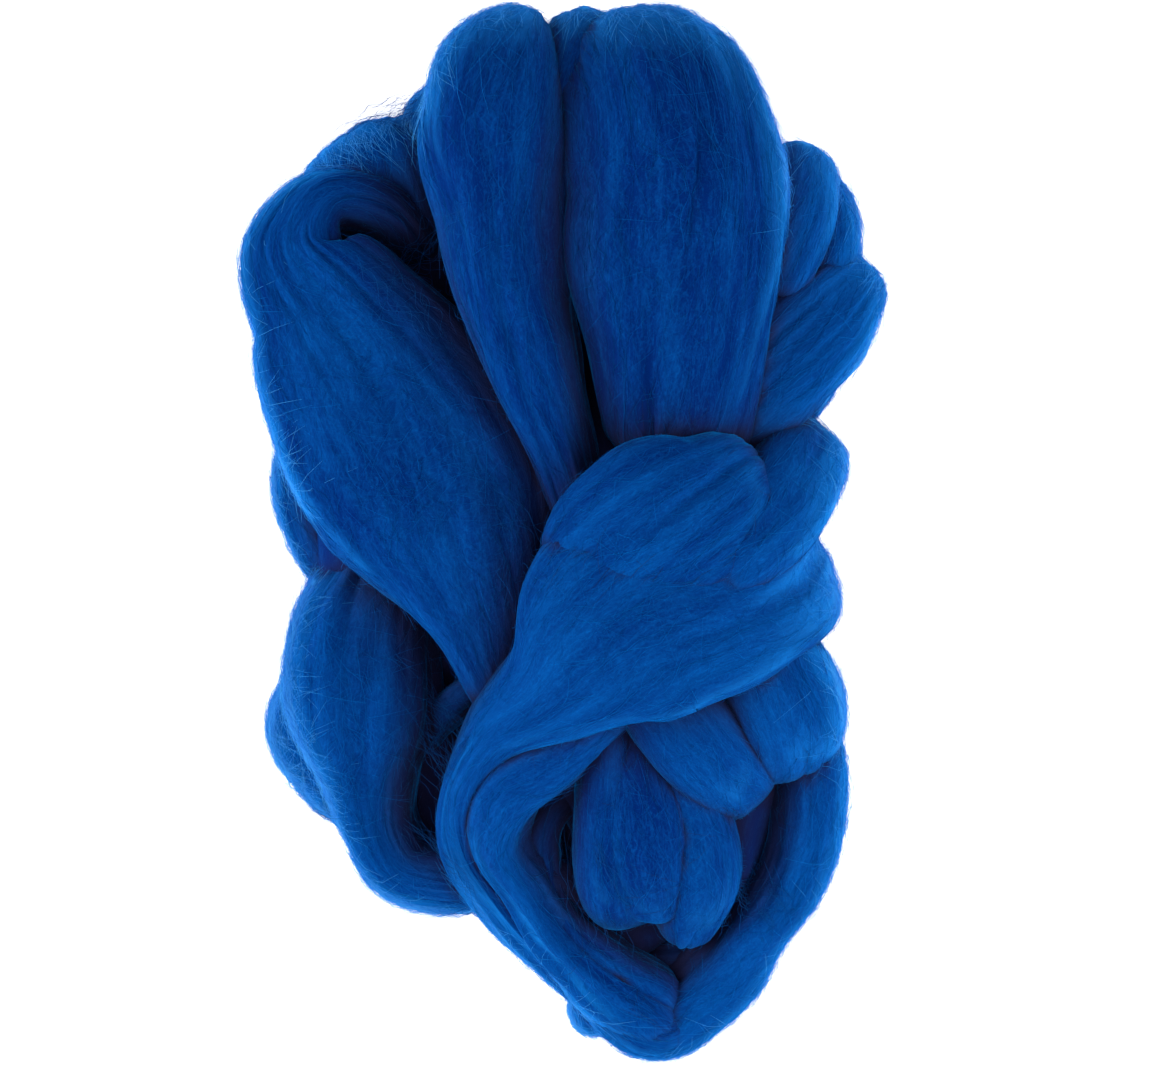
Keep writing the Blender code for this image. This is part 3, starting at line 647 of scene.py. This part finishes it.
def wool_shader(tree, lit, paleness, colours, relief):
    """The soft, matt body of the wool, with a sheen from the fine hair on it. Its colour carries
    painted light and shade: a pale glow of floor light where it is thin, and painted shade deep
    in creases."""
    # Painted light: a pale glow of floor light, palest where the wool is thinnest.
    rim = tree.attribute("rim") * paleness
    pale = tree.mix((rim * RIM_SHARE).clamped(), lit, colours.rim)
    palest = tree.mix((rim * EDGE_GAIN - EDGE_CUT).clamped(), pale, colours.edge)
    # Painted shade: the colour darkens towards the shade of creases where folds close the wool in.
    unshaded_share = tree.node("ShaderNodeMapRange", {
        "Value": tree.attribute("open"), "From Min": CREASE_SKY[0],
        "From Max": CREASE_SKY[1]}, "Result", interpolation_type="SMOOTHSTEP")
    shader = tree.node("ShaderNodeBsdfPrincipled", {
        "Base Color": tree.mix(unshaded_share, colours.crease_shade, palest), "Roughness": 0.85,
        "Specular IOR Level": 0.02, "Sheen Weight": colours.sheen, "Sheen Roughness": 0.3,
        "Sheen Tint": (*colours.sheen_colour, 1.0), **relief})
    tree.node("ShaderNodeOutputMaterial", {"Surface": shader})


def streaks(tree, place, drift, long, wide, thin):
    """Thin light lines along the fibres, 1 in their middle: where a long noise crosses its mean."""
    along = tree.node("ShaderNodeSeparateXYZ", {0: place}, "X")
    aside = tree.node("ShaderNodeCombineXYZ", {"Y": along * drift, "Z": along * -drift})
    noise = tree.noise(tree.vector("ADD", place, aside), (long, wide, wide), 1.0)
    return (1 - abs(noise - 0.5) * thin).clamped()


def combed_wool():
    """The finish of the folds: fine lines along the fibres, in colour and in relief."""
    colours = bpy.context.scene.roving_colours
    material = bpy.data.materials.new("combed_wool")
    tree = empty_tree(material)
    place = tree.attribute("strand", "Vector")
    waver = tree.vector("SUBTRACT", tree.noise(place, (5, 2.5, 2.5), 1.0, "Color"), (0.5, 0.5, 0.5))
    wavy = tree.vector("ADD", place, tree.vector("MULTIPLY", waver, (0.0, CRIMP, CRIMP)))
    lines = 0.0
    for *look, weight in STREAKS:
        lines = lines + streaks(tree, wavy, *look) * weight
    haze = tree.noise(place, (36, 5.0, 5.0))
    # Shade is the painted light and shade of the pass, for how light falls on it.
    tone = BASE_TONE + lines * STREAK_TONE + (haze - 0.5) * HAZE_TONE + tree.attribute("shade")
    # The lines that raise the bump also lighten the colour: partly grain, partly painted light and
    # shade.
    lit = tree.mix(tone.clamped(), colours.deep, colours.light)
    bump = tree.node("ShaderNodeBump", {"Strength": 0.5, "Distance": 0.2 * MM, "Height": lines})
    wool_shader(tree, lit, FOLD_PALENESS, colours, {"Normal": bump})
    return material


def single_fibres():
    """The finish of separate fibres, each with a tone of its own, shifted by the painted light and
    shade of its pass.
    """
    colours = bpy.context.scene.roving_colours
    material = bpy.data.materials.new("single_fibres")
    tree = empty_tree(material)
    patches = tree.noise(tree.node("ShaderNodeTexCoord", {}, "Object"), (3, 3, 3), 1.0)
    tone = tree.attribute("tone") + (patches - 0.5) * PATCH_TONE
    wool_shader(tree, tree.mix(tone.clamped(), colours.deep, colours.fibre), 1.0, colours, {})
    return material


# ---------- fibres and hairs

def fibre_tree():
    """The tree that gives lines of points their crimp and a thin three-sided body."""
    group = bpy.data.node_groups.new("spun_fibres", "GeometryNodeTree")
    for name, kind in (
        ("Geometry", "Geometry"), ("Width", "Float"), ("Crimp", "Float"), ("Crimp Length", "Float"),
        ("Seed", "Int"), ("Finish", "Material"),
    ):
        group.interface.new_socket(name, in_out="INPUT", socket_type="NodeSocket" + kind)
    group.interface.new_socket("Geometry", in_out="OUTPUT", socket_type="NodeSocketGeometry")
    tree = NodeTree(group)

    def given(name):
        return tree.node("NodeGroupInput", {}, name)

    lines = tree.node("GeometryNodeMeshToCurve", {"Mesh": given("Geometry")})
    place = tree.node("GeometryNodeInputPosition")
    noise = tree.node("ShaderNodeTexNoise", {
        "Vector": tree.vector("SCALE", place, 1.0 / given("Crimp Length")), "W": given("Seed"),
        "Scale": 1.0, "Detail": 0.0}, "Color", noise_dimensions="4D")
    centred = tree.vector("SUBTRACT", noise, (0.5, 0.5, 0.5))
    crimped = tree.node("GeometryNodeSetPosition", {
        "Geometry": lines, "Offset": tree.vector("SCALE", centred, given("Crimp"))})
    thick = tree.node("GeometryNodeInputNamedAttribute", {"Name": "thick"}, data_type="FLOAT")
    round_line = tree.node("GeometryNodeCurvePrimitiveCircle", {
        "Resolution": 3, "Radius": 0.5 * given("Width")})
    bodies = tree.node("GeometryNodeCurveToMesh", {
        "Curve": crimped, "Profile Curve": round_line, "Scale": thick, "Fill Caps": True})
    whole = tree.node("GeometryNodeRealizeInstances", {"Geometry": bodies})
    done = tree.node("GeometryNodeSetMaterial", {"Geometry": whole, "Material": given("Finish")})
    tree.node("NodeGroupOutput", {"Geometry": done})
    return group


class Surroundings:
    """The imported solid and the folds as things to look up: what is buried and what is shaded."""

    def __init__(self):
        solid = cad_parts[NODE].data
        corners = [v.co.copy() for v in solid.vertices]
        self.solid = BVHTree.FromPolygons(corners, [tuple(p.vertices) for p in solid.polygons])
        rise = 1 - 2 * (np.arange(SKY_RAYS) + 0.5) / SKY_RAYS
        flat = np.sqrt(1 - rise * rise)
        turn = math.pi * (3 - math.sqrt(5)) * np.arange(SKY_RAYS)
        self.rays = list(map(Vector, zip(flat * np.cos(turn), flat * np.sin(turn), rise)))

    def buried(self, point):
        """Whether a point is well inside the solid."""
        nearest, normal, _, distance = self.solid.find_nearest(point)
        return distance > BURIED_DEPTH and (point - nearest).dot(normal) < 0

    def stand_folds(self, skins):
        """Takes in the folds, with every other point round them, for what they shade."""
        grids = [skin.points[:, ::2] for skin in skins]
        self.folds = BVHTree.FromPolygons(joined(grids).tolist(), tube_faces(grids)[0])

    def openness(self, point, normal):
        """How free the folds leave the side of a point that faces out, from 0 in creases to 1,
        and how much of the floor beside it lights it."""
        start = point + normal * SKY_START
        free = whole = pale = low = 0.0
        for ray in self.rays:
            facing = ray.dot(normal)
            if facing > SKY_FACING:
                sloping = FLOOR_SLOPE[0] < ray.z < FLOOR_SLOPE[1]
                reach = FLOOR_REACH if sloping else SKY_REACH
                hit = self.folds.ray_cast(start, ray, reach)[0]
                whole += facing
                free += facing * (hit is None or (hit - start).length > SKY_REACH)
                low += sloping
                pale += sloping and hit is None
        return free / whole, pale / low if low > 1 else 0.0

    def top(self, x, y):
        """The height of the highest surface at a place."""
        hit = self.solid.ray_cast(Vector((x, y, 0.5)), Vector((0, 0, -1)))[0]
        return hit.z if hit else 0.0


@functools.cache
def surroundings():
    """The lookups, made once."""
    return Surroundings()


def open_share(skin):
    """How open each point of a skin is and how well the floor lights it, read off a coarser grid
    of its points."""
    stations, ring = skin.points.shape[:2]
    s = np.unique(np.linspace(0, stations - 1, max(4, round(stations / 1.5))).astype(int))
    r = np.unique(np.linspace(0, ring - 1, max(16, ring // 3)).astype(int))
    both = np.array([[
        surroundings().openness(Vector(skin.points[i, j]), Vector(skin.normals[i, j]))
        for j in r] for i in s])
    grids = []
    for values in np.moveaxis(both, -1, 0):
        wide = np.concatenate([values, values[:, :1]], axis=1)
        rings = np.stack([np.interp(np.arange(ring), [*r, ring], row) for row in wide])
        grid = np.stack([np.interp(np.arange(stations), s, column) for column in rings.T], axis=1)
        grid = 0.5 * grid + 0.25 * (np.roll(grid, 1, axis=1) + np.roll(grid, -1, axis=1))
        grid[1:-1] = 0.5 * grid[1:-1] + 0.25 * (grid[2:] + grid[:-2])
        grids.append(grid)
    return grids


def floor_glow_share(skin):
    """How much pale glow of floor light is painted at each point, as if through thin wool: most
    on flanks that face the open floor.
    """
    if skin.coarse:
        return np.zeros(skin.floor_lit.shape)
    rise = skin.normals[..., 2]
    thin = skin.ruffled ** RUFFLED_POWER
    sideways = np.clip(1 - np.abs(rise) / RIM_FACING, 0.0, 1.0)
    sideways *= np.clip(1 + rise / UNDER_FACING, 0.0, 1.0)
    lit = np.clip((skin.floor_lit * thin - RIM_LIT) / RIM_LIT_SPAN, 0.0, 1.0)
    return np.clip(RIM_GAIN * thin * sideways * lit, 0.0, 1.0)


def spots(skin, density, flanks, chance):
    """Random places, as lengths along and shares of a turn, on the part of a skin that shows.
    Flanks is how many more there are where the pale glow of floor light is painted."""
    corner = skin.points[:-1]
    along = skin.points[1:] - corner
    aside = np.roll(corner, -1, axis=1) - corner
    area = np.linalg.norm(np.cross(along, aside), axis=2)
    count = round(area.sum() * density * flanks)
    total = np.cumsum(area.ravel())
    picked = np.searchsorted(total, chance.uniform(0, total[-1], count))
    s, r = np.divmod(picked, area.shape[1])
    facing = np.clip((skin.normals[s, r, 2] + 0.45) / 0.6, 0.06, 1.0)
    wanted = facing * (1 + (flanks - 1) * skin.rim[s, r] ** 2) / flanks
    kept = chance.uniform(0, 1, count) < wanted
    kept &= np.array([not surroundings().buried(Vector(p)) for p in skin.points[s, r]])
    length = skin.along[-1] * (s[kept] + chance.uniform(0, 1, kept.sum())) / (len(skin.along) - 1)
    return length, skin.turn[r[kept]]


def follow(skin, spot, run, aside, lift):
    """Points that run along the fibres of a skin, moved aside and lifted off it."""
    along0, turn0 = spot[0][:, None], spot[1][:, None]
    along = np.clip(along0 + run, 0, skin.along[-1])
    turned = turn0 + aside / skin.girth
    start = skin.read(skin.shift, along[:, :1], turn0)[..., 0]
    turned = turned - (skin.read(skin.shift, along, turned)[..., 0] - start)
    place = skin.read(skin.points, along, turned)
    return place + skin.read(skin.normals, along, turned) * lift[..., None]


def laid_lines(skin, spot, reach, chance):
    """Fibres that lie on a skin, drifting aside a little, with their ends tucked in."""
    column = (len(spot[0]), 1)
    u = np.linspace(-0.5, 0.5, LAID.steps + 1)[None, :]
    length = reach * chance.uniform(0.5, 1.4, column)
    drift = np.radians(chance.normal(0, 10.0, column))
    sway = chance.gamma(2.0, 0.5, column) * MM * np.sin(
        u * chance.uniform(3, 9, column) + chance.uniform(0, 6, column))
    height = chance.gamma(1.5, 0.07, column) * MM
    lift = height * (1 - (2 * u) ** 4) - 0.04 * MM
    run = length * u
    return follow(skin, spot, run * np.cos(drift), run * np.sin(drift) + sway, lift)


def hair_lines(skin, spot, reach, chance):
    """Short hairs that start on a skin and lean off it, mostly along the fibres."""
    column = (len(spot[0]), 1)
    u = np.linspace(0, 1, HAIRS.steps + 1)[None, :]
    length = reach * chance.gamma(4.0, 0.25, column)
    drift = np.radians(chance.normal(0, 50, column))
    way = chance.choice((-1.0, 1.0), column)
    height = np.minimum(chance.gamma(1.8, 0.9, column) * MM, 0.4 * length)
    droop = chance.uniform(0.0, 0.9, column)
    lift = height * (u ** 1.3 - 0.8 * droop * u ** 3) - 0.05 * MM
    bow = chance.normal(0, 1.4, column) * MM * u ** 2
    run = length * u
    return follow(skin, spot, way * run * np.cos(drift), run * np.sin(drift) + bow, lift)


def stray_line(start, end, spread, bow, curl, chance):
    """A long curly fibre between two places, laid over what is under it."""
    u = np.linspace(0, 1, CURLS.steps + 1)
    ends = np.array([start, end], float)
    ends = ends + chance.normal(0, spread, (2, 3)) * (1, 1, 0.4)
    way = unit(ends[1] - ends[0])
    aside = unit(np.cross(way, (0, 0, 1)))
    over = np.cross(aside, way)
    turns = chance.uniform(1.5, 4.0)
    twist = 2 * math.pi * turns * u ** chance.uniform(0.8, 1.3) + chance.uniform(0, 6)
    curl = curl * chance.uniform(0.3, 1.0) * np.sin(math.pi * u) ** 0.5
    bow = bow * chance.uniform(-1, 1) * np.sin(math.pi * u)
    line = ends[0] + (ends[1] - ends[0]) * u[:, None]
    line = line + aside * (bow + curl * np.cos(twist))[:, None]
    line = line + over * (0.4 * curl * np.sin(twist))[:, None]
    line = (line - MIDDLE) * MM
    under = np.array([surroundings().top(x, y) for x, y, _ in line])
    line[:, 2] = np.maximum(line[:, 2], under + 0.4 * MM)
    line[1:-1, 2] = 0.5 * line[1:-1, 2] + 0.25 * (line[2:, 2] + line[:-2, 2])
    return line


def spin_fibres(name, kind, lines, tones, opens, floor_glows, width, seed):
    """Gives lines of points thin crimped bodies and adds them to the model as one piece."""
    count, steps = lines.shape[:2]
    guides = bpy.data.meshes.new(name)
    first = (np.arange(count)[:, None] * steps + np.arange(steps - 1)[None, :]).ravel()
    edges = np.stack([first, first + 1], axis=1).tolist()
    guides.from_pydata(settled(lines).reshape(-1, 3).tolist(), edges, [])
    thick = 1 - kind.taper * np.abs(np.linspace(-1, 1, steps)) ** 3
    store(
        guides, thick=np.broadcast_to(thick, (count, steps)),
        tone=np.broadcast_to(tones[:, None], (count, steps)), open=opens, rim=floor_glows)
    carrier = link(name + "_guides", guides)
    modifier = carrier.modifiers.new("Spun", "NODES")
    modifier.node_group = bpy.data.node_groups.get("spun_fibres") or fibre_tree()
    finish = bpy.data.materials.get("single_fibres") or single_fibres()
    given = {
        "Width": width, "Crimp": kind.crimp * MM, "Crimp Length": kind.crimp_length * MM,
        "Seed": seed, "Finish": finish}
    for item in modifier.node_group.interface.items_tree:
        if item.in_out == "INPUT" and item.name in given:
            modifier[item.identifier] = given[item.name]
    shape = carrier.evaluated_get(bpy.context.evaluated_depsgraph_get())
    mesh = bpy.data.meshes.new_from_object(shape)
    mesh.name = name
    bpy.data.objects.remove(carrier)
    bpy.data.meshes.remove(guides)
    mesh.shade_smooth()
    add_piece(name, mesh, finish)


# ---------- sizes and colours to change

def amount(name, description, default, least=0.0, **more):
    """A number for the panel."""
    return FloatProperty(name=name, description=description, default=default, min=least, **more)


def distance(name, description, millimetres, least):
    """A distance for the panel, given in mm."""
    return amount(name, description, millimetres * MM, least * MM, unit="LENGTH")


def colour(name, description, default):
    """A colour for the panel."""
    return FloatVectorProperty(
        name=name, description=description, default=default, subtype="COLOR", min=0, max=1)


class RovingSizes(bpy.types.PropertyGroup):
    """How fine the folds are and how many fibres lie on them."""

    step_along: distance("Step Along", "Distance between the rings of a fold", 2.4, 0.5)
    step_across: distance("Step Across", "Distance between points on the side that shows", 0.6, 0.2)
    hidden_step: distance("Hidden Step", "Distance between points on the other side", 3.0, 0.5)
    furrows: amount("Furrows", "How deep the furrows between clumps of fibres are", 1.0, max=3.0)
    laid_density: amount("Laid Fibres", "Fibres laid on each square metre of the folds", 34000.0)
    laid_length: distance("Laid Length", "Middle length of a laid fibre", 19, 5)
    laid_width: distance("Laid Width", "Width of a laid fibre", 0.10, 0.05)
    hair_density: amount("Fine Hairs", "Fine hairs on each square metre of the folds", 72000.0)
    hair_flanks: amount("Hairs on Flanks", "How many times more the flanks have", 20.0, 1.0)
    hair_length: distance("Hair Length", "Middle length of a fine hair", 6, 1)
    hair_width: distance("Hair Width", "Width of a fine hair", 0.085, 0.02)
    seed: IntProperty(name="Seed", description="Which random arrangement", default=7, min=0)


class RovingColours(bpy.types.PropertyGroup):
    """The colours of the wool, and of the light and shade painted on it."""

    # Partly the wool's own streaky grain and partly painted shade between clumps of fibres.
    deep: colour("Deep", "Wool between clumps of fibres", (0.0, 0.022, 0.168))
    # Partly the wool's own streaky grain and partly painted light on the ridges.
    light: colour("Light", "Wool on the ridges", (0.0015, 0.124, 0.505))
    # Painted light: the pale glow of floor light through thin wool on the flanks.
    rim: colour("Rim", "Thin wool at the free flanks", (0.010, 0.29, 0.88))
    # Painted light: the palest glow of floor light, at the very edge.
    edge: colour("Edge", "The thinnest wool, at the very edge", (0.07, 0.42, 0.95))
    fibre: colour("Fibre", "Separate fibres and fine hairs", (0.0015, 0.155, 0.60))
    # Painted shade, the colour of wool deep in creases where folds close it in.
    crease_shade: colour("Crease", "Wool deep in a crease", (0.016, 0.016, 0.052))
    sheen_colour: colour("Sheen Colour", "The soft shine of fine hair", (0.0, 0.28, 0.85))
    sheen: amount("Sheen", "How strong the soft shine is", 0.9, max=1)


class RovingStudio(bpy.types.PropertyGroup):
    """The floor and the lights."""

    left: amount("Left Light", "Power of the light on the left", 6.2, unit="POWER")
    right: amount("Right Light", "Power of the light on the right", 4.6, unit="POWER")
    foot: amount("Foot Light", "Power of the light beyond the foot", 3.0, unit="POWER")
    sky: amount("Sky", "Strength of the light all round", 0.3)
    floor: amount("Floor", "Light that the pale floor gives off", 0.9)


# ---------- operators

SKINS = {}


class ROVING_OT_folds(bpy.types.Operator):
    """Make the skins of all the folds, from the table of sections"""
    bl_idname = "roving.folds"
    bl_label = "Folds"

    def execute(self, context):
        sizes = context.scene.roving_sizes
        finish = combed_wool()
        SKINS.clear()
        for k, name in enumerate(PASSES):
            SKINS[name] = Skin(name, sizes, 100 * k + sizes.seed)
        surroundings().stand_folds(SKINS.values())
        for skin in SKINS.values():
            skin.open, skin.floor_lit = open_share(skin)
            skin.rim = floor_glow_share(skin)
        for piece, names in PIECES.items():
            add_piece(piece, skins_mesh(piece, [SKINS[name] for name in names]), finish)
        return {"FINISHED"}


def grow(name, kind, lines_of, sizes, density, flanks, reach, width, chance):
    """Adds fibres on every skin that shows, in the order of the passes, as pieces small enough to
    handle. A fibre is as open as its place, for painted shade in creases, has the painted glow of
    floor light of its place, and takes the painted light and shade of its pass."""
    grown = []
    for skin in SKINS.values():
        if skin.coarse:
            continue
        spot = spots(skin, density(skin), flanks, chance)
        lines = lines_of(skin, spot, reach, chance)
        opens, floor_glows = (
            np.broadcast_to(skin.read(grid[..., None], *spot), lines.shape[:2])
            for grid in (skin.open, skin.rim))
        grown.append((lines, opens, floor_glows, np.full(len(lines), skin.shade)))
    lines, opens, floor_glows, shades = map(np.concatenate, zip(*grown))
    # A fibre's tone carries the painted light and shade of its pass.
    tones = np.clip(chance.normal(kind.tone, kind.tone_spread, len(lines)) + shades, 0.0, 1.0)
    parts = math.ceil(len(lines) * (6 * kind.steps + 2) / FACES_A_PIECE)
    for k, part in enumerate(np.array_split(np.arange(len(lines)), parts)):
        spin_fibres(
            name + "_" + "abcdef"[k], kind, lines[part], tones[part], opens[part], floor_glows[part],
            width, sizes.seed + k)


class ROVING_OT_laid_fibres(bpy.types.Operator):
    """Lay long fibres on the folds, mostly along them"""
    bl_idname = "roving.laid_fibres"
    bl_label = "Laid Fibres"

    def execute(self, context):
        sizes = context.scene.roving_sizes
        grow(
            "laid_fibres", LAID, laid_lines, sizes, lambda skin: sizes.laid_density, 1.0,
            sizes.laid_length, sizes.laid_width, np.random.default_rng(sizes.seed + 1))
        return {"FINISHED"}


class ROVING_OT_fine_hairs(bpy.types.Operator):
    """Stand short fine hairs on the folds, which soften their edges"""
    bl_idname = "roving.fine_hairs"
    bl_label = "Fine Hairs"

    def execute(self, context):
        sizes = context.scene.roving_sizes
        grow(
            "fine_hairs", HAIRS, hair_lines, sizes, lambda skin: sizes.hair_density * skin.ruffled,
            sizes.hair_flanks, sizes.hair_length, sizes.hair_width,
            np.random.default_rng(sizes.seed + 2))
        return {"FINISHED"}


class ROVING_OT_stray_curls(bpy.types.Operator):
    """Add the long curly fibres that cross the hollows"""
    bl_idname = "roving.stray_curls"
    bl_label = "Stray Curls"

    def execute(self, context):
        sizes = context.scene.roving_sizes
        chance = np.random.default_rng(sizes.seed + 3)
        lines = np.array([
            stray_line(start, end, spread, bow, curl, chance)
            for start, end, count, spread, bow, curl in STRAYS for _ in range(count)])
        tones = np.clip(chance.normal(CURLS.tone, CURLS.tone_spread, len(lines)), 0, 1)
        opens = np.full(lines.shape[:2], CURLS_OPEN)
        spin_fibres(
            "stray_curls", CURLS, lines, tones, opens, 0 * opens, sizes.hair_width, sizes.seed)
        return {"FINISHED"}


class ROVING_OT_studio(bpy.types.Operator):
    """Add the pale floor, the lights and the camera straight above"""
    bl_idname = "roving.studio"
    bl_label = "Studio"

    def execute(self, context):
        scene = context.scene
        studio = scene.roving_studio
        half = FLOOR_SIZE / 2
        plane = bpy.data.meshes.new("floor")
        plane.from_pydata([
            (x * half, y * half, -FLOOR_DROP) for x, y in ((-1, -1), (1, -1), (1, 1), (-1, 1))
        ], [], [(0, 1, 2, 3)])
        material = bpy.data.materials.new("pale_floor")
        tree = empty_tree(material)
        shader = tree.node("ShaderNodeBsdfPrincipled", {
            "Base Color": (0.9, 0.9, 0.9, 1.0), "Roughness": 0.9,
            "Emission Color": (1.0, 1.0, 1.0, 1.0), "Emission Strength": studio.floor})
        tree.node("ShaderNodeOutputMaterial", {"Surface": shader})
        plane.materials.append(material)
        link("floor", plane)
        scene.world = bpy.data.worlds.new("pale_sky")
        tree = empty_tree(scene.world)
        light = tree.node("ShaderNodeBackground", {
            "Color": (0.92, 0.96, 1.0, 1.0), "Strength": studio.sky})
        tree.node("ShaderNodeOutputWorld", {"Surface": light})
        for name, place in LIGHTS.items():
            light = bpy.data.lights.new(name + "_light", "AREA")
            light.size = LIGHT_SIZE
            light.energy = getattr(studio, name)
            lamp = link(name + "_light", light)
            lamp.location = place
            lamp.rotation_euler = (-Vector(place)).to_track_quat("-Z", "Y").to_euler()
        view = bpy.data.cameras.new("camera")
        view.lens = CAMERA_LENS
        scene.camera = link("camera", view)
        scene.camera.location = CAMERA_PLACE
        scene.view_settings.view_transform = "Standard"
        return {"FINISHED"}


class ROVING_PT_panel(bpy.types.Panel):
    """The sizes, the colours and the steps, in the order they are made"""
    bl_idname = "ROVING_PT_panel"
    bl_label = "Wool Roving"
    bl_space_type = "VIEW_3D"
    bl_region_type = "UI"
    bl_category = "Roving"

    def draw(self, context):
        for label in GROUPS:
            group = getattr(context.scene, label)
            box = self.layout.box()
            for name in group.__annotations__:
                box.prop(group, name)
        for step in STEPS:
            self.layout.operator(step.bl_idname)


GROUPS = {
    "roving_sizes": RovingSizes, "roving_colours": RovingColours, "roving_studio": RovingStudio}
STEPS = (
    ROVING_OT_folds, ROVING_OT_laid_fibres, ROVING_OT_fine_hairs, ROVING_OT_stray_curls,
    ROVING_OT_studio)


def register():
    for item in (*GROUPS.values(), *STEPS, ROVING_PT_panel):
        bpy.utils.register_class(item)
    for name, group in GROUPS.items():
        setattr(bpy.types.Scene, name, PointerProperty(type=group))


def unregister():
    for name in GROUPS:
        delattr(bpy.types.Scene, name)
    for item in (ROVING_PT_panel, *reversed(STEPS), *reversed(GROUPS.values())):
        bpy.utils.unregister_class(item)


def main():
    register()
    bpy.ops.roving.folds()
    bpy.ops.roving.laid_fibres()
    bpy.ops.roving.fine_hairs()
    bpy.ops.roving.stray_curls()
    bpy.ops.roving.studio()


if __name__ == "__main__":
    main()
